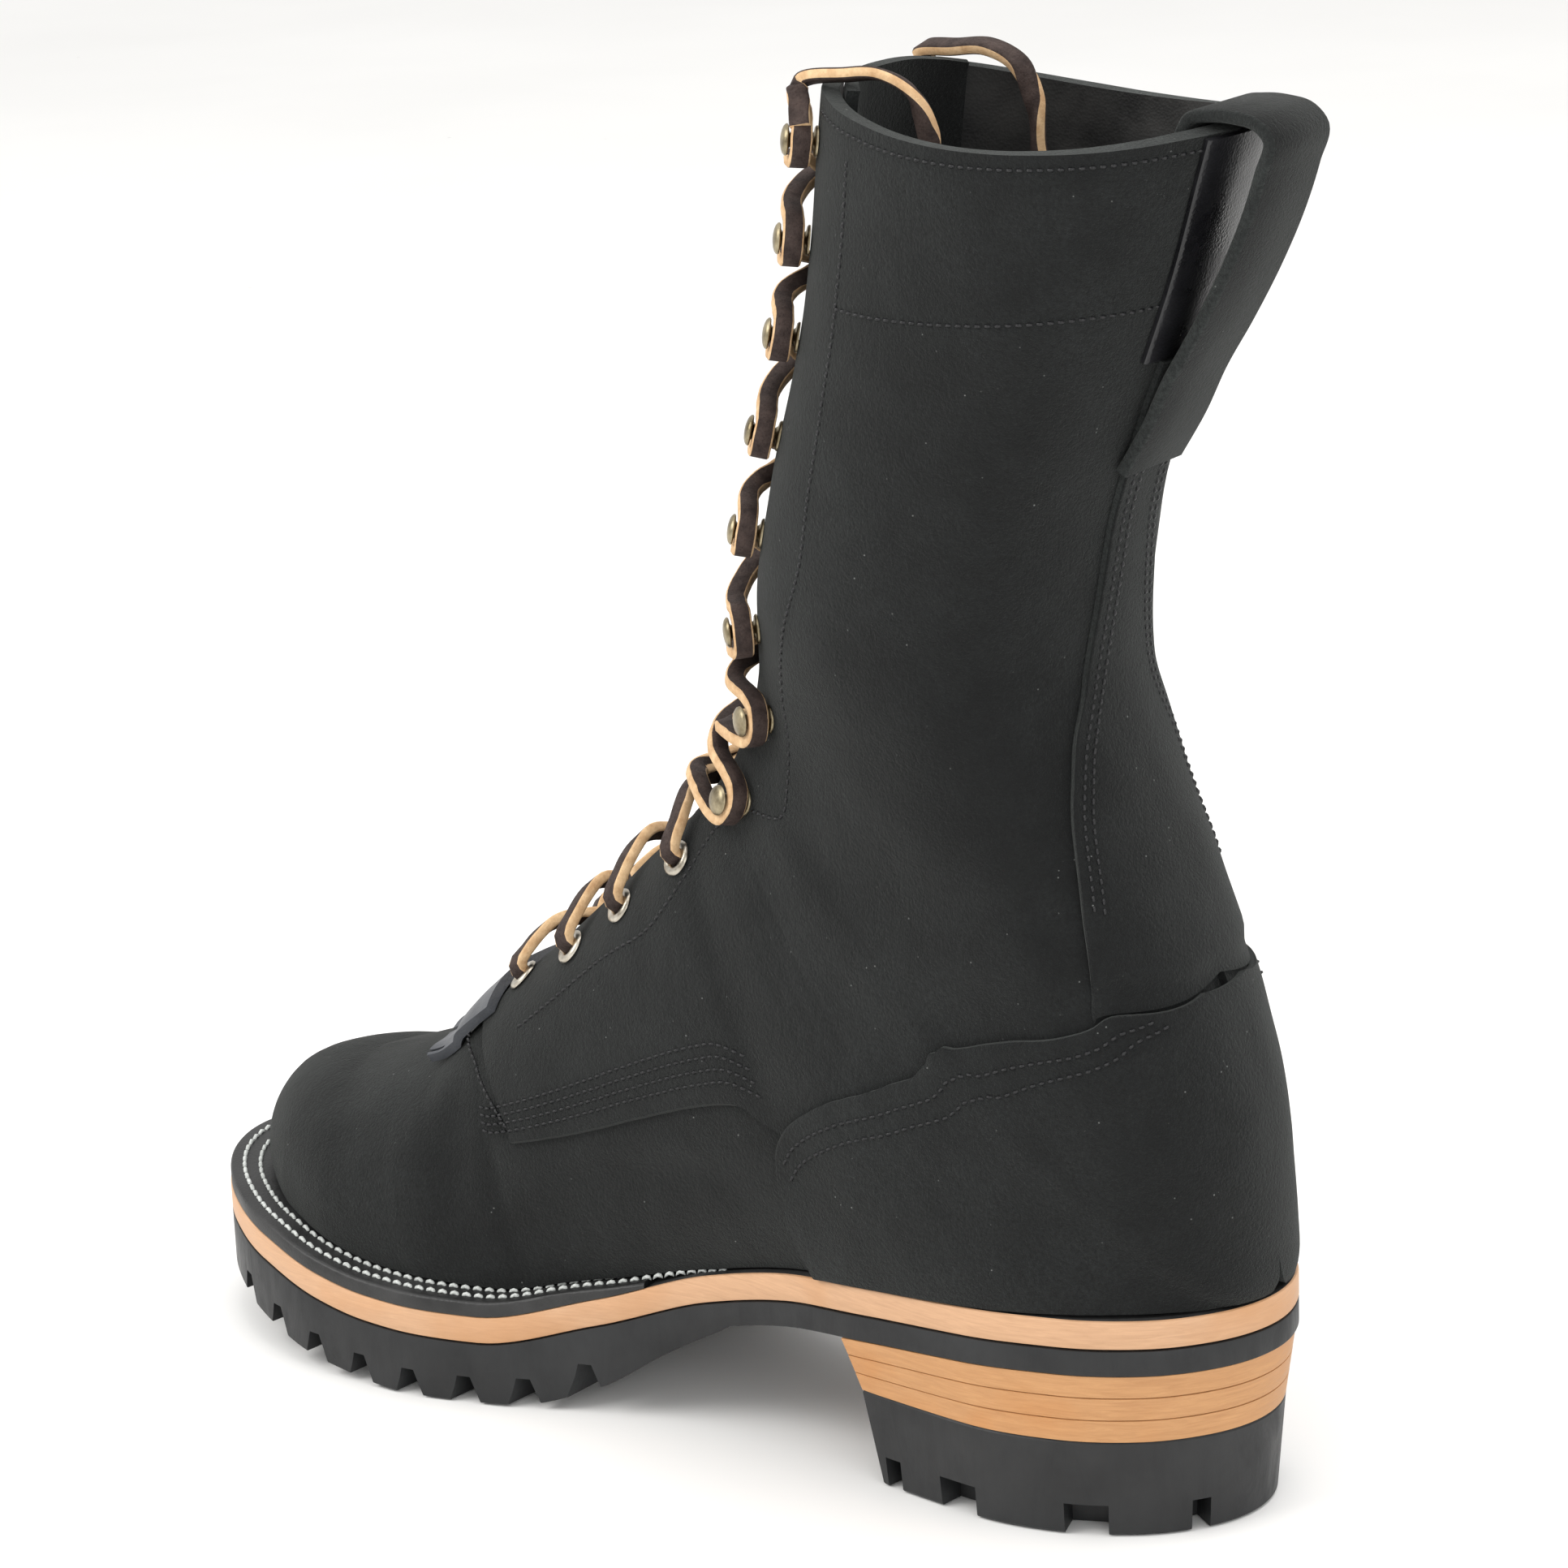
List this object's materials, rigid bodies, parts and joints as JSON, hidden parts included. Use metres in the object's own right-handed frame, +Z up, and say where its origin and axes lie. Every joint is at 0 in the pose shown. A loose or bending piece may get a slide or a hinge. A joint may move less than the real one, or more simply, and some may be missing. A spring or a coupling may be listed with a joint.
{
  "type": "boot",
  "caption": "Tall black roughout logger boot for the right foot, with hooks up the shaft, a welt, a lugged sole under a raised stacked heel, and a pull loop at the back.",
  "frame": {"origin": "middle of the boot in plan, on the floor under the sole", "axes": "+Z up, -Y toward the toe, +X toward the inner side (the wearer's left)"},
  "size_m": [0.1126, 0.3194, 0.3438],
  "materials": {
    "suede": "black roughout leather with a short grey-green nap",
    "smooth_leather": "smooth dark grey grain leather, semi-matte",
    "tan_leather": "pale tan sole leather with a cut, sanded edge",
    "stack_leather": "tan heel leather, sanded, with faint lift lines",
    "rubber": "black rubber, matte to satin",
    "welt_leather": "black edge-dressed welt leather",
    "lining": "unfinished brown insole leather",
    "rawhide": "dark brown rawhide with pale fuzzy cut edges",
    "brass": "dark antique brass"
  },
  "bodies": {
    "root": {"back_strip": "smooth_leather", "backstay": "suede", "counter": "suede", "eyelet_in_1": "brass", "eyelet_in_2": "brass", "eyelet_in_3": "brass", "eyelet_in_4": "brass", "eyelet_out_1": "brass", "eyelet_out_2": "brass", "eyelet_out_3": "brass", "eyelet_out_4": "brass", "heel_cap": "rubber", "heel_lift_1": "stack_leather", "heel_lift_2": "stack_leather", "heel_lift_3": "stack_leather", "hook_in_1": "brass", "hook_in_2": "brass", "hook_in_3": "brass", "hook_in_4": "brass", "hook_in_5": "brass", "hook_in_6": "brass", "hook_in_7": "brass", "hook_in_8": "brass", "hook_out_1": "brass", "hook_out_2": "brass", "hook_out_3": "brass", "hook_out_4": "brass", "hook_out_5": "brass", "hook_out_6": "brass", "hook_out_7": "brass", "hook_out_8": "brass", "insole": "lining", "kiltie": "smooth_leather", "lace": "rawhide", "lace_end_in": "rawhide", "lace_end_out": "rawhide", "midsole": "tan_leather", "outsole": "rubber", "pull_loop": "suede", "tongue": "suede", "upper": "suede", "welt": "welt_leather"}
  },
  "joints": []
}
